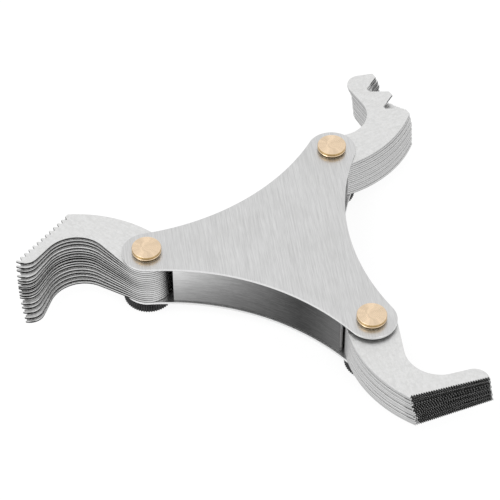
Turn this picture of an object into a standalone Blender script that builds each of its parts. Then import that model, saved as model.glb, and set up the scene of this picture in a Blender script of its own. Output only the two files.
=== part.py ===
"""Three-armed screw pitch gauge.

Three fans of toothed steel leaves turn on brass screws between two plates with hollow sides.
Curved side walls hold the plates apart, and a knurled nut under each lobe clamps its fan.
The frame's origin is the centre of the bottom plate's underside, with +Z up.
"""

import math

import bmesh
import bpy
import numpy as np

MM = 0.001
INCH = 25.4 * MM

# Frame
PIVOT_RADIUS = 25.0 * MM  # centre of the frame to each pivot
PLATE_THICKNESS = 0.5 * MM
LOBE_RADIUS = 4.55 * MM  # rounded end of the plates round each pivot
SIDE_RADIUS = 44.5 * MM  # hollow sides of the plates
WALL_THICKNESS = 0.8 * MM
WALL_INSET = 0.35 * MM  # from the plates' edge to the wall's outer face

# Leaves
LEAF_THICKNESS = 0.47 * MM
BOSS_RADIUS = 4.58 * MM
HOLLOW_RADIUS = 6.1 * MM
NOSE_RADIUS = 2.65 * MM
FLANK_RADIUS = 23.6 * MM  # long outer edge, tangent to the boss
FLANK_DIRECTION = math.radians(81.5)  # of the flank's centre, seen from the pivot

# Teeth
METRIC_ANGLE = math.radians(60.0)
INCH_ANGLE = math.radians(55.0)
CREST_FLAT = 0.20  # shares of the pitch
ROOT_FLAT = 0.16
FLAT_FROM_PITCH = 1.0 * MM  # finer teeth come to a point

# Screws and nuts
SHANK_RADIUS = 1.5 * MM
SHANK_CHAMFER = 0.3 * MM
HEAD_RADIUS = 2.7 * MM
HEAD_HEIGHT = 1.05 * MM
HEAD_CROWN = 0.22 * MM  # rise of the turned cone on top of the head
HEAD_BEVEL = 0.15 * MM
GROOVE_DEPTH = 0.12 * MM  # turned round the side of the head
GROOVE_HEIGHT = 0.45 * MM  # of its middle over the head's seat
GROOVE_WIDTH = 0.24 * MM
NUT_RADIUS = 4.4 * MM
NUT_HEIGHT = 2.1 * MM
KNURL_TEETH = 60
KNURL_DEPTH = 0.22 * MM
SHANK_RECESS = 0.3 * MM  # shank's end inside the nut's lower face

# Clearances
LEAF_GAP = 0.05 * MM  # between leaves, and from a fan to the plate below it
TOP_SLACK = 0.05 * MM  # over the tallest fan
SEAT_GAP = 0.05 * MM  # walls, screw heads and nuts to the plates
BORE_CLEARANCE = 0.06 * MM  # shank to leaves, plates and nuts
FLANK_CLEARANCE = 0.4 * MM  # from a boss to the wall on its leaves' flank side
HOOK_CLEARANCE = 1.25 * MM  # from a boss to the wall on its leaves' hooked side

# How finely the outlines are drawn
ARC_STEP = math.radians(15.0)
BOSS_STEP = math.radians(22.5)
FLANK_STEP = math.radians(7.5)
NOSE_STEP = math.radians(30.0)
SIDE_STEPS = 8  # along each hollow side of a plate
WALL_STEPS = 10  # along each face of a wall
BORE_SIDES = 12
TURNED_SIDES = 24
WELD = 0.002 * MM  # outline points closer than this are one
TURNED_WELD = 0.01 * MM  # ends of a turned profile this close to the axis meet on it

WOBBLE_STEP = 2.4  # radians of wobble from one leaf to the next

STEEL = ((0.74, 0.74, 0.73), 0.32, 1.0)
LEAF_STEEL = ((0.70, 0.70, 0.69), 0.42, 1.0)
BRASS = ((0.83, 0.62, 0.30), 0.25, 1.0)
BLACKENED = ((0.035, 0.035, 0.037), 0.45, 1.0)


def metric(*pitches):
    """Pitches in millimetres, as (pitch, thread angle)."""
    return [(pitch * MM, METRIC_ANGLE) for pitch in pitches]


def per_inch(*counts):
    """Threads per inch, as (pitch, thread angle)."""
    return [(INCH / count, INCH_ANGLE) for count in counts]


# Each fan, from its top leaf down: pivot's direction, the way its top leaf points, how many
# degrees some of the leaves are turned past that, how unevenly the rest lie between them, its
# blank and each leaf's teeth. A blank's reach runs from the pivot to the crests; the lowest leaf
# is longer, and its flank flares out. Its neck runs from the crests to the hollow. The centres of
# the hollow and of the rounded nose, and the toe, are placed along the tooth line.
FANS = {
    "medium": dict(
        direction=math.radians(180.0),
        points=math.radians(-44.2),
        lay=((0, 0.0), (4, 6.6), (8, 8.9), (10, 10.4), (15, 19.5)),
        wobble=math.radians(0.35),
        reach=18.0 * MM,
        longer=0.2 * MM,
        flare=0.0,
        neck=2.6 * MM,
        hollow_along=9.1 * MM,
        nose_along=12.7 * MM,
        toe_along=15.2 * MM,
        teeth=per_inch(22, 24, 25, 26, 27, 28, 30, 32, 34, 36, 38, 40, 42, 44, 46, 48),
    ),
    "coarse": dict(
        direction=math.radians(60.0),
        points=math.radians(-37.4),
        lay=((0, 0.0), (4, -2.3), (15, -3.0)),
        wobble=math.radians(0.25),
        reach=18.5 * MM,
        longer=0.6 * MM,
        flare=0.0,
        neck=6.3 * MM,
        hollow_along=8.4 * MM,
        nose_along=13.0 * MM,
        toe_along=14.5 * MM,
        teeth=metric(6, 5.5, 5, 4.5, 4, 3.5, 3, 2.5, 2, 1.75, 1.5, 1.25, 1, 0.9, 0.8, 0.75),
    ),
    "fine": dict(
        direction=math.radians(-60.0),
        points=math.radians(-21.1),
        lay=((0, 0.0), (14, 4.7)),
        wobble=math.radians(0.45),
        reach=17.9 * MM,
        longer=0.6 * MM,
        flare=math.radians(2.2),
        neck=2.85 * MM,
        hollow_along=9.3 * MM,
        nose_along=12.7 * MM,
        toe_along=15.2 * MM,
        teeth=metric(0.45, 0.4, 0.35, 0.3) + per_inch(50, 52, 54, 56, 58, 60, 62, 64, 66, 68, 70),
    ),
}

LEAF_STEP = LEAF_THICKNESS + LEAF_GAP
TALLEST_FAN = max(len(fan["teeth"]) for fan in FANS.values())
INNER_HEIGHT = TALLEST_FAN * LEAF_STEP + LEAF_GAP + TOP_SLACK
TOP_PLATE_Z = PLATE_THICKNESS + INNER_HEIGHT
TOP_Z = TOP_PLATE_Z + PLATE_THICKNESS


def polar(radius, angle, centre=(0.0, 0.0)):
    return centre[0] + radius * math.cos(angle), centre[1] + radius * math.sin(angle)


def arc(centre, radius, start, end, step=ARC_STEP):
    """Points from start to end about centre, both ends included."""
    count = max(2, math.ceil(abs(end - start) / step))
    return [polar(radius, start + (end - start) * i / count, centre) for i in range(count + 1)]


def bore(centre=(0.0, 0.0)):
    """A hole that clears the shank on its flats."""
    radius = (SHANK_RADIUS + BORE_CLEARANCE) / math.cos(math.pi / BORE_SIDES)
    turn = 2 * math.pi / BORE_SIDES
    return [polar(radius, -turn * i, centre) for i in range(BORE_SIDES)]


def material(name, finish):
    colour, roughness, metallic = finish
    made = bpy.data.materials.new(name)
    made.use_nodes = True
    shader = made.node_tree.nodes["Principled BSDF"]
    shader.inputs["Base Color"].default_value = (*colour, 1.0)
    shader.inputs["Roughness"].default_value = roughness
    shader.inputs["Metallic"].default_value = metallic
    return made


def add_object(name, data, collection, finish, location, turn=0.0):
    made = bpy.data.objects.new(name, data)
    data.materials.append(material(name, finish))
    made.location = location
    made.rotation_euler = (0.0, 0.0, turn)
    collection.objects.link(made)
    return made


def flat_piece(name, loops, thickness, collection, finish, location, turn=0.0):
    """A flat piece of the given outline and holes, with its underside at location."""
    curve = bpy.data.curves.new(name, "CURVE")
    curve.dimensions = "2D"
    curve.fill_mode = "BOTH"
    curve.extrude = thickness / 2
    for loop in loops:
        spline = curve.splines.new("POLY")
        spline.points.add(len(loop) - 1)
        spline.use_cyclic_u = True
        for point, (x, y) in zip(spline.points, loop):
            point.co = (x, y, 0.0, 1.0)
    x, y, z = location
    return add_object(name, curve, collection, finish, (x, y, z + thickness / 2), turn)


def plate_piece(name, loops, thickness, collection, finish, location):
    """A flat piece whose middle is one broad face, with its underside at location."""
    shape = bmesh.new()
    for loop in loops:
        corners = [shape.verts.new((x, y, 0.0)) for x, y in loop]
        for i, corner in enumerate(corners):
            shape.edges.new((corners[i - 1], corner))
    up = (0.0, 0.0, 1.0)
    bmesh.ops.triangle_fill(shape, use_beauty=True, edges=shape.edges[:], normal=up)
    mesh = bpy.data.meshes.new(name)
    shape.to_mesh(mesh)
    shape.free()
    made = add_object(name, mesh, collection, finish, location)
    sheet = made.modifiers.new("sheet", "SOLIDIFY")
    sheet.thickness = thickness
    sheet.offset = 1.0
    return made


def turned_piece(name, profile, collection, finish, location):
    """A solid of revolution about its own Z; the profile runs from the top down."""
    mesh = bpy.data.meshes.new(name)
    edges = [(i, i + 1) for i in range(len(profile) - 1)]
    mesh.from_pydata([(x, 0.0, z) for x, z in profile], edges, [])
    made = add_object(name, mesh, collection, finish, location)
    turning = made.modifiers.new("turned", "SCREW")
    turning.steps = TURNED_SIDES
    turning.render_steps = TURNED_SIDES
    turning.use_merge_vertices = True
    turning.merge_threshold = TURNED_WELD
    turning.use_smooth_shade = False
    return made


def side_centre(middle):
    """Centre of the hollow side that faces along middle."""
    half_span = PIVOT_RADIUS * math.sin(math.pi / 3)
    depth = math.sqrt((LOBE_RADIUS + SIDE_RADIUS) ** 2 - half_span**2)
    return polar(PIVOT_RADIUS * math.cos(math.pi / 3) + depth, middle)


def side_half_angle():
    """Half of the hollow side's arc, from its middle to where it meets a lobe."""
    return math.asin(PIVOT_RADIUS * math.sin(math.pi / 3) / (LOBE_RADIUS + SIDE_RADIUS))


def plate_outline():
    """Three lobes joined by three hollow sides, anticlockwise."""
    points = []
    half_side = side_half_angle()
    half_lobe = math.pi / 3 + half_side
    for corner in range(3):
        direction = math.pi / 3 + corner * 2 * math.pi / 3
        middle = direction + math.pi / 3
        pivot = polar(PIVOT_RADIUS, direction)
        points += arc(pivot, LOBE_RADIUS, direction - half_lobe, direction + half_lobe)
        back = middle + math.pi
        step = 2 * half_side / SIDE_STEPS
        side = arc(side_centre(middle), SIDE_RADIUS, back + half_side, back - half_side, step)
        points += side[1:-1]
    return points


def wall_end(clearance):
    """Half of a wall's arc, from its middle to an end that keeps clear of the boss beyond it."""
    to_pivot = LOBE_RADIUS + SIDE_RADIUS
    clear = BOSS_RADIUS + clearance
    return side_half_angle() - max(
        math.acos((to_pivot**2 + radius**2 - clear**2) / (2 * to_pivot * radius))
        for radius in (SIDE_RADIUS + WALL_INSET, SIDE_RADIUS + WALL_INSET + WALL_THICKNESS)
    )


def wall_outline(middle):
    """A curved strip just inside the plates' edge."""
    outer = SIDE_RADIUS + WALL_INSET
    inner = outer + WALL_THICKNESS
    start = middle + math.pi - wall_end(FLANK_CLEARANCE)
    end = middle + math.pi + wall_end(HOOK_CLEARANCE)
    centre = side_centre(middle)
    step = (end - start) / WALL_STEPS
    return arc(centre, outer, start, end, step) + arc(centre, inner, end, start, step)


def tooth_line(crest, depth, pitch, toe, heel):
    """Crests and roots from the heel up to the toe; a crest's flat starts at the toe."""
    crest_half = CREST_FLAT * pitch / 2 if pitch >= FLAT_FROM_PITCH else 0.0
    root_half = ROOT_FLAT * pitch / 2 if pitch >= FLAT_FROM_PITCH else 0.0
    first = toe - crest_half
    count = math.floor((first + crest_half - heel) / pitch)
    points = []
    for i in range(count):
        middle = first - i * pitch
        root = middle - pitch / 2
        ends = [(crest, middle - crest_half), (crest - depth, root + root_half)]
        if crest_half:
            ends = [(crest, middle + crest_half)] + ends + [(crest - depth, root - root_half)]
        points += ends
    land = first - count * pitch + crest_half
    points.append((crest, land))
    points.reverse()
    return points


def leave_boss(hollow):
    """Directions, from the boss and from the hollow, at which the inner edge leaves each."""
    apart = math.hypot(*hollow)
    towards = math.atan2(hollow[1], hollow[0])
    if apart >= BOSS_RADIUS + HOLLOW_RADIUS:
        from_boss = towards + math.acos((BOSS_RADIUS + HOLLOW_RADIUS) / apart)
        return from_boss, from_boss - math.pi
    share = (BOSS_RADIUS**2 + apart**2 - HOLLOW_RADIUS**2) / (2 * BOSS_RADIUS * apart)
    from_boss = towards - math.acos(share)
    x, y = polar(BOSS_RADIUS, from_boss)
    return from_boss, math.atan2(y - hollow[1], x - hollow[0])


def leaf_turn(fan, i):
    """The way that leaf i points, counted from the top."""
    leaves, degrees = zip(*fan["lay"])
    wobble = fan["wobble"] * math.sin(WOBBLE_STEP * i)
    return fan["direction"] + fan["points"] + math.radians(np.interp(i, leaves, degrees)) + wobble


def leaf_outline(fan, i):
    """Leaf i about its pivot, with its tooth line square to +X and its toe towards +Y."""
    pitch, thread_angle = fan["teeth"][i]
    lowness = i / (len(fan["teeth"]) - 1)
    reach = fan["reach"] + fan["longer"] * lowness
    to_flank = FLANK_DIRECTION - fan["flare"] * lowness
    depth = pitch * (1.0 - CREST_FLAT - ROOT_FLAT) / 2 / math.tan(thread_angle / 2)

    flank = polar(FLANK_RADIUS - BOSS_RADIUS, to_flank)
    flank_start = to_flank - math.pi
    flank_end = -math.acos((reach - flank[0]) / FLANK_RADIUS)
    heel = polar(FLANK_RADIUS, flank_end, flank)

    nose = (reach - fan["neck"] + NOSE_RADIUS, fan["nose_along"])
    toe = (reach, fan["toe_along"])
    to_toe = math.hypot(toe[0] - nose[0], toe[1] - nose[1])
    if to_toe > NOSE_RADIUS:
        nose_start = math.atan2(toe[1] - nose[1], toe[0] - nose[0]) + math.acos(NOSE_RADIUS / to_toe)
    else:
        nose_start = math.acos((reach - nose[0]) / NOSE_RADIUS)
        toe = polar(NOSE_RADIUS, nose_start, nose)

    hollow = (reach - fan["neck"] - HOLLOW_RADIUS, fan["hollow_along"])
    from_boss, from_hollow = leave_boss(hollow)

    points = arc((0.0, 0.0), BOSS_RADIUS, from_boss, flank_start + 2 * math.pi, BOSS_STEP)
    points += arc(flank, FLANK_RADIUS, flank_start, flank_end, FLANK_STEP)[1:]
    points += tooth_line(reach, depth, pitch, toe[1], heel[1])
    points += arc(nose, NOSE_RADIUS, nose_start, math.pi, NOSE_STEP)
    points += arc(hollow, HOLLOW_RADIUS, 0.0, from_hollow)
    return [point for i, point in enumerate(points) if math.dist(point, points[i - 1]) > WELD]


def nut_outline():
    """A ring of pointed knurls."""
    points = []
    for tooth in range(KNURL_TEETH):
        angle = 2 * math.pi * tooth / KNURL_TEETH
        points.append(polar(NUT_RADIUS, angle))
        points.append(polar(NUT_RADIUS - KNURL_DEPTH, angle + math.pi / KNURL_TEETH))
    return points


def add_frame(collection):
    pivots = [polar(PIVOT_RADIUS, fan["direction"]) for fan in FANS.values()]
    outline = plate_outline()
    bores = [bore(pivot) for pivot in pivots]
    for name, z in (("bottom_plate", 0.0), ("top_plate", TOP_PLATE_Z)):
        plate_piece(name, [outline] + bores, PLATE_THICKNESS, collection, STEEL, (0.0, 0.0, z))
    names = list(FANS)
    for i, name in enumerate(names):
        other = names[(i + 1) % len(names)]
        middle = math.atan2(
            pivots[i][1] + pivots[(i + 1) % len(names)][1],
            pivots[i][0] + pivots[(i + 1) % len(names)][0],
        )
        flat_piece(
            f"wall_{name}_{other}",
            [wall_outline(middle)],
            INNER_HEIGHT - 2 * SEAT_GAP,
            collection,
            STEEL,
            (0.0, 0.0, PLATE_THICKNESS + SEAT_GAP),
        )


def add_fan(name, fan, collection):
    """One stack of leaves, standing on the bottom plate, from the top leaf down."""
    pivot = polar(PIVOT_RADIUS, fan["direction"])
    count = len(fan["teeth"])
    for i in range(count):
        z = PLATE_THICKNESS + LEAF_GAP + (count - 1 - i) * LEAF_STEP
        flat_piece(
            f"leaf_{name}_{i + 1:02d}",
            [leaf_outline(fan, i), bore()],
            LEAF_THICKNESS,
            collection,
            LEAF_STEEL,
            (*pivot, z),
            leaf_turn(fan, i),
        )


def add_screw_and_nut(name, fan, collection):
    x, y = polar(PIVOT_RADIUS, fan["direction"])
    seat = TOP_Z + SEAT_GAP
    rim = seat + HEAD_HEIGHT
    end = -SEAT_GAP - NUT_HEIGHT + SHANK_RECESS
    profile = [
        (0.0, rim + HEAD_CROWN),
        (HEAD_RADIUS - HEAD_BEVEL, rim),
        (HEAD_RADIUS, rim - HEAD_BEVEL),
        (HEAD_RADIUS, seat + GROOVE_HEIGHT + GROOVE_WIDTH / 2),
        (HEAD_RADIUS - GROOVE_DEPTH, seat + GROOVE_HEIGHT),
        (HEAD_RADIUS, seat + GROOVE_HEIGHT - GROOVE_WIDTH / 2),
        (HEAD_RADIUS, seat),
        (SHANK_RADIUS, seat),
        (SHANK_RADIUS, end + SHANK_CHAMFER),
        (SHANK_RADIUS - SHANK_CHAMFER, end),
        (0.0, end),
    ]
    turned_piece(f"screw_{name}", profile, collection, BRASS, (x, y, 0.0))
    flat_piece(
        f"nut_{name}",
        [nut_outline(), bore()],
        NUT_HEIGHT,
        collection,
        BLACKENED,
        (x, y, -SEAT_GAP - NUT_HEIGHT),
    )


def main():
    for old in list(bpy.data.objects):
        bpy.data.objects.remove(old, do_unlink=True)
    collection = bpy.data.collections.new("screw_pitch_gauge")
    bpy.context.scene.collection.children.link(collection)
    add_frame(collection)
    for name, fan in FANS.items():
        add_fan(name, fan, collection)
        add_screw_and_nut(name, fan, collection)


main()
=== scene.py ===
"""Dresses a three-armed screw pitch gauge: toothed steel leaves in three fans between two plates."""

import enum
import logging
import math
from dataclasses import dataclass, field
from typing import Iterable, Sequence

import bmesh
import bpy
import numpy as np
from mathutils import Matrix, Vector


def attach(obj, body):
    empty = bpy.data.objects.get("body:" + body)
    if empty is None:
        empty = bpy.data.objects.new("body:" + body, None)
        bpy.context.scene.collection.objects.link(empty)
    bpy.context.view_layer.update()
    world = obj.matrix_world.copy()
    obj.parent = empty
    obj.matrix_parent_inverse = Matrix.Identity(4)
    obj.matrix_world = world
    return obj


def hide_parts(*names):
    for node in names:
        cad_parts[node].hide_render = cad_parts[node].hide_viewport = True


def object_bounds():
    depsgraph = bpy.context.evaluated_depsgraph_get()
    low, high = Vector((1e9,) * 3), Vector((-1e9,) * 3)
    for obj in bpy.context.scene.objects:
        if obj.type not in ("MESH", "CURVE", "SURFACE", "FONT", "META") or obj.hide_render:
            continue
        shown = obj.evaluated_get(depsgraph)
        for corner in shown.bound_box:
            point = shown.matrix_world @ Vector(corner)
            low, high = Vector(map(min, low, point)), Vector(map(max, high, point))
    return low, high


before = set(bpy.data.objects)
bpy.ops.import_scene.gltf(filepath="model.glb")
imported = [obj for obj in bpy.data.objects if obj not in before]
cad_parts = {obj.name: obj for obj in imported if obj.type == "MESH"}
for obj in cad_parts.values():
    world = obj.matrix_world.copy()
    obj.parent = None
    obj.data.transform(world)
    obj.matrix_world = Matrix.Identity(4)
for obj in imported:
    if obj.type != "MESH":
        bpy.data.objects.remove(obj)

LOG = logging.getLogger("pitch_gauge")
CAD_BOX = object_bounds()

MM = 0.001
INCH_MM = 25.4
LAYER = 10.0  # mm that a stacked piece's grain is set above the next one's
BUMP_DEPTH = 0.0001  # metres
WELD = 0.0005  # mm

Point = tuple[float, float]
Span = tuple[float, float]
Colour = tuple[float, float, float]
Tree = bpy.types.NodeTree
Node = bpy.types.Node
Socket = bpy.types.NodeSocket
Object = bpy.types.Object
Mesh = bpy.types.Mesh
Material = bpy.types.Material


class Arm(enum.Enum):
    """The gauge's three arms, each named for the fan that turns on it."""

    MEDIUM = "medium"
    COARSE = "coarse"
    FINE = "fine"


class Pattern(enum.Enum):
    """How a piece's grain attribute is laid over it."""

    FLAT = "flat"
    ROUND = "round"


# Outlines and places


def polar(radius: float, angle: float, centre: Point = (0.0, 0.0)) -> Point:
    """The point at a radius and an angle about a centre."""
    return centre[0] + radius * math.cos(angle), centre[1] + radius * math.sin(angle)


def arc(centre: Point, radius: float, start: float, end: float, step: float = 5.0) -> list[Point]:
    """Points along an arc, both ends included.

    Args:
        centre: The arc's centre.
        radius: Its radius.
        start: The first point's direction, in radians.
        end: The last point's direction, in radians.
        step: The widest angle between two points, in degrees.

    Returns:
        The points in order.
    """
    count = max(2, math.ceil(abs(end - start) / math.radians(step)))
    return [polar(radius, start + (end - start) * i / count, centre) for i in range(count + 1)]


def circle(radius: float, centre: Point = (0.0, 0.0), sides: int = 48) -> list[Point]:
    """An anticlockwise ring of points, which is a hole's way round."""
    return [polar(radius, 2 * math.pi * i / sides, centre) for i in range(sides)]


def place_over(centre: Point, height: float, turn: float = 0.0) -> Matrix:
    """Where a piece goes: over a point and at a height, both in mm, turned by an angle in radians."""
    return Matrix.Translation((centre[0] * MM, centre[1] * MM, height * MM)) @ Matrix.Rotation(turn, 4, "Z")


def grey(tone: float) -> Colour:
    """A plain grey."""
    return (tone, tone, tone)


def rgba(colour: Colour) -> tuple[float, float, float, float]:
    """A colour with full alpha."""
    return (*colour, 1.0)


# Node trees


class NodeBuilder:
    """Adds nodes to a tree and wires them up as it goes."""

    def __init__(self, tree: Tree) -> None:
        """Takes the tree that the nodes go in."""
        self.tree = tree

    @classmethod
    def group(
        cls, kind: str, name: str, inputs: dict[str, tuple[str, object]], outputs: dict[str, str]
    ) -> "NodeBuilder":
        """Starts a node group with named sockets.

        Args:
            kind: GeometryNodeTree or ShaderNodeTree.
            name: The group's name.
            inputs: Each input's name, with its socket type and its starting value.
            outputs: Each output's name and socket type.

        Returns:
            The builder of a group that holds only its input and output nodes.
        """
        tree = bpy.data.node_groups.new(name, kind)
        for label, (socket_type, value) in inputs.items():
            socket = tree.interface.new_socket(label, in_out="INPUT", socket_type=socket_type)
            if value is not None:
                socket.default_value = value
        for label, socket_type in outputs.items():
            tree.interface.new_socket(label, in_out="OUTPUT", socket_type=socket_type)
        tree.nodes.new("NodeGroupInput").name = "in"
        tree.nodes.new("NodeGroupOutput").name = "out"
        return cls(tree)

    @property
    def given(self) -> bpy.types.bpy_prop_collection:
        """What the group is given, by name."""
        return self.tree.nodes["in"].outputs

    def give(self, name: str, value: Socket) -> None:
        """Puts a socket out of the group."""
        self.tree.links.new(value, self.tree.nodes["out"].inputs[name])

    def node(self, kind: str, settings: dict | None = None, **sockets: object) -> Node:
        """Adds a node.

        Args:
            kind: The node's type.
            settings: Its own properties, set before the sockets are looked up.
            sockets: Values or sockets for its inputs, by name, or by number as i0, i1 and so on.

        Returns:
            The new node.
        """
        made = self.tree.nodes.new(kind)
        for key, value in (settings or {}).items():
            setattr(made, key, value)
        for key, value in sockets.items():
            numbered = key[0] == "i" and key[1:].isdigit()
            target = made.inputs[int(key[1:]) if numbered else key.replace("_", " ")]
            if isinstance(value, Socket):
                self.tree.links.new(value, target)
            else:
                target.default_value = value
        return made

    def add(self, kind: str, settings: dict | None = None, **sockets: object) -> Socket:
        """Adds a node and hands on its first output."""
        return self.node(kind, settings, **sockets).outputs[0]

    def maths(self, operation: str, first: object, second: object = 0.0) -> Socket:
        """A Math node's result, in either kind of tree."""
        return self.add("ShaderNodeMath", {"operation": operation}, i0=first, i1=second)

    def times(self, first: object, *others: object) -> Socket:
        """A product of two or more numbers."""
        for other in others:
            first = self.maths("MULTIPLY", first, other)
        return first

    def plus(self, first: object, *others: object) -> Socket:
        """A sum of two or more numbers."""
        for other in others:
            first = self.maths("ADD", first, other)
        return first

    def minus(self, first: object, second: object) -> Socket:
        """One number less another."""
        return self.maths("SUBTRACT", first, second)

    def combine(self, x: object = 0.0, y: object = 0.0, z: object = 0.0) -> Socket:
        """A vector from its three numbers."""
        return self.add("ShaderNodeCombineXYZ", X=x, Y=y, Z=z)

    def parts(self, vector: Socket) -> bpy.types.bpy_prop_collection:
        """A vector's three numbers."""
        return self.node("ShaderNodeSeparateXYZ", i0=vector).outputs

    def ramp(self, value: Socket, span: Span, to: Span = (0.0, 1.0), how: str = "SMOOTHSTEP") -> Socket:
        """A number carried from one range to another and held inside it."""
        ends = {"i1": span[0], "i2": span[1], "i3": to[0], "i4": to[1]}
        return self.add("ShaderNodeMapRange", {"interpolation_type": how}, i0=value, **ends)

    def noise(self, place: Socket, scale: object, detail: float, roughness: float = 0.5) -> Socket:
        """Smooth noise, 0 to 1."""
        return self.add("ShaderNodeTexNoise", Vector=place, Scale=scale, Detail=detail, Roughness=roughness)

    def mix_floats(self, factor: object, first: object, second: object) -> Socket:
        """A plain blend of two numbers."""
        return self.add("ShaderNodeMix", {"data_type": "FLOAT"}, i0=factor, i2=first, i3=second)

    def mix_colours(self, factor: object, first: object, second: object, how: str = "MIX") -> Socket:
        """A blend of two colours.

        Args:
            factor: How much of the second there is.
            first: A colour or its socket.
            second: Another.
            how: The manner of the blend.

        Returns:
            The blend's socket.
        """
        first, second = (rgba(side) if isinstance(side, tuple) else side for side in (first, second))
        settings = {"data_type": "RGBA", "blend_type": how}
        return self.node("ShaderNodeMix", settings, i0=factor, i6=first, i7=second).outputs[2]

    def shaded(self, colour: object, shade: Socket) -> Socket:
        """A colour made darker by a number from 0 to 1."""
        return self.mix_colours(1.0, colour, self.combine(shade, shade, shade), "MULTIPLY")

    def join(self, *pieces: Socket) -> Socket:
        """Several geometries as one.

        Args:
            pieces: Their sockets.

        Returns:
            The socket of the whole.
        """
        joined = self.node("GeometryNodeJoinGeometry")
        for piece in pieces:
            self.tree.links.new(piece, joined.inputs[0])
        return joined.outputs[0]

    def give_piece(self, piece: Socket) -> None:
        """Ends a shape tree: makes its instances real, sets its finish and puts it out."""
        real = self.add("GeometryNodeRealizeInstances", i0=piece)
        self.give("Piece", self.add("GeometryNodeSetMaterial", i0=real, Material=self.given["Finish"]))


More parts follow.
